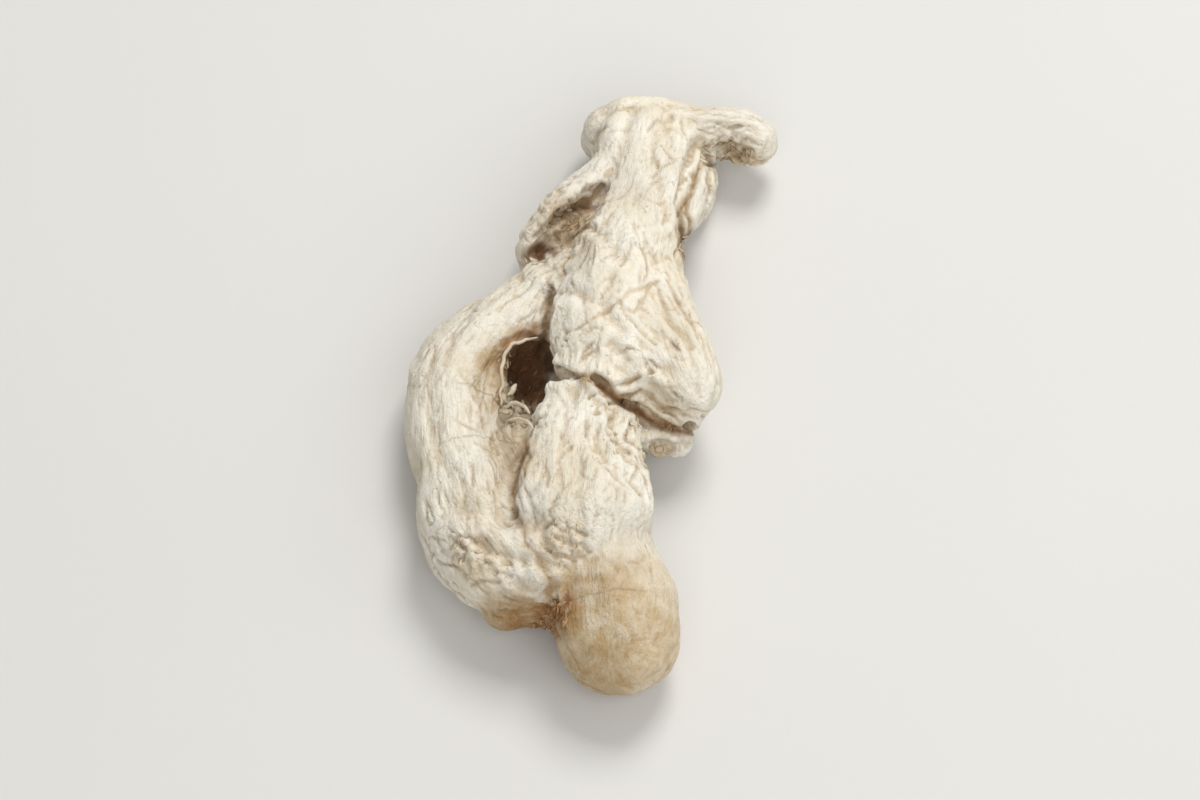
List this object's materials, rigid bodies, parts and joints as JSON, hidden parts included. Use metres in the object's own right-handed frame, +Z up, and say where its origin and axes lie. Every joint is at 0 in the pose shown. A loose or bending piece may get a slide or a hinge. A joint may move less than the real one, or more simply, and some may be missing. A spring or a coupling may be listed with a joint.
{
  "type": "dried ginger root",
  "caption": "Dried ginger rhizome with a hooked side finger, a smooth end knob, a flattened crest and deeply folded skin, lying flat.",
  "frame": {"origin": "middle of the footprint on the surface the root lies on", "axes": "+Y runs along the root from the smooth knob to the flattened crest, +Z is up, +X is on the side of the torn stub"},
  "size_m": [0.044, 0.0782, 0.0169],
  "materials": {
    "skin": "dry, chalky cream skin with ochre folds, matt"
  },
  "bodies": {
    "root": {"ginger_root": "skin"}
  },
  "joints": []
}
